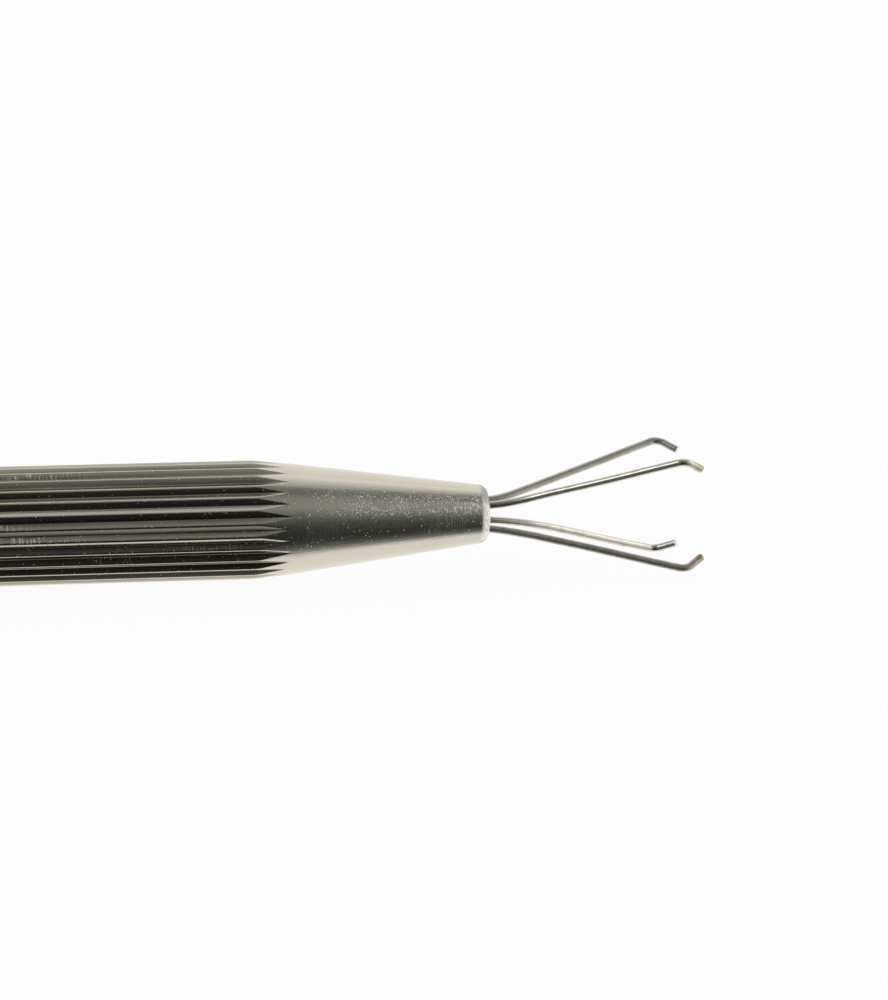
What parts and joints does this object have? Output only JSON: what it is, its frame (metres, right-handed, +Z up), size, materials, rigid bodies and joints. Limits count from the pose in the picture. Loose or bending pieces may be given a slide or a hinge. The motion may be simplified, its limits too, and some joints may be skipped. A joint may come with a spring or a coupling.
{
  "type": "claw pick-up tool",
  "caption": "Push-button pick-up tool: fluted nickel-plated barrel with a plain cone nose, from which sprung wire claws with inward hooks open when the button is pressed.",
  "frame": {"origin": "On the tool's centre line seen from above, half way along its whole length in the stored pose (button pressed, claws open), at the height of the barrel's lowest line, so the tool lies on z = 0", "axes": "+X along the barrel towards the claws, +Y to the left when looking along +X, +Z up"},
  "size_m": [0.1141, 0.009, 0.0083],
  "materials": {
    "nickel_plating": "bright nickel plate over turned brass, worn",
    "steel": "bright turned steel",
    "spring_steel": "drawn music wire",
    "brass": "turned, unplated"
  },
  "bodies": {
    "barrel": {"barrel": "nickel_plating", "front_guide": "brass", "guide_bush": "nickel_plating", "spring_washer_front": "steel", "return_spring": "spring_steel"},
    "plunger": {"push_rod": "steel", "push_button": "nickel_plating", "button_set_screw": "steel", "retaining_clip": "spring_steel", "spring_washer_rear": "steel", "claw_carrier": "brass", "carrier_pin": "steel", "claw_1_shank": "spring_steel", "claw_2_shank": "spring_steel", "claw_3_shank": "spring_steel", "claw_4_shank": "spring_steel"},
    "claw_1": {"claw_1": "spring_steel"},
    "claw_2": {"claw_2": "spring_steel"},
    "claw_3": {"claw_3": "spring_steel"},
    "claw_4": {"claw_4": "spring_steel"}
  },
  "joints": [
    {"name": "plunger_slide", "type": "slide", "parent": "barrel", "child": "plunger", "axis": [1, 0, 0], "range_m": [-0.0068, 0], "stiffness_N_per_m": 290, "springref_m": -0.012, "deforming": ["return_spring"]},
    {"name": "claw_1_close", "type": "hinge", "parent": "plunger", "child": "claw_1", "pos_m": [0.04098, 0.00068, 0.00473], "axis": [0, 0.729, -0.6845], "range_deg": [0, 15.59]},
    {"name": "claw_2_close", "type": "hinge", "parent": "plunger", "child": "claw_2", "pos_m": [0.04098, -0.00069, 0.00473], "axis": [0, 0.7278, 0.6858], "range_deg": [0, 13.95]},
    {"name": "claw_3_close", "type": "hinge", "parent": "plunger", "child": "claw_3", "pos_m": [0.04128, 0.00079, 0.00339], "axis": [0, -0.6143, -0.7891], "range_deg": [0, 16.75]},
    {"name": "claw_4_close", "type": "hinge", "parent": "plunger", "child": "claw_4", "pos_m": [0.03898, -0.00071, 0.00329], "axis": [0, -0.7059, 0.7083], "range_deg": [0, 11.1]}
  ],
  "couplings": [
    {"joint": "claw_1_close", "follows": "plunger_slide", "rad_per_m": -39.989},
    {"joint": "claw_2_close", "follows": "plunger_slide", "rad_per_m": -35.779},
    {"joint": "claw_3_close", "follows": "plunger_slide", "rad_per_m": -42.966},
    {"joint": "claw_4_close", "follows": "plunger_slide", "rad_per_m": -28.464}
  ]
}
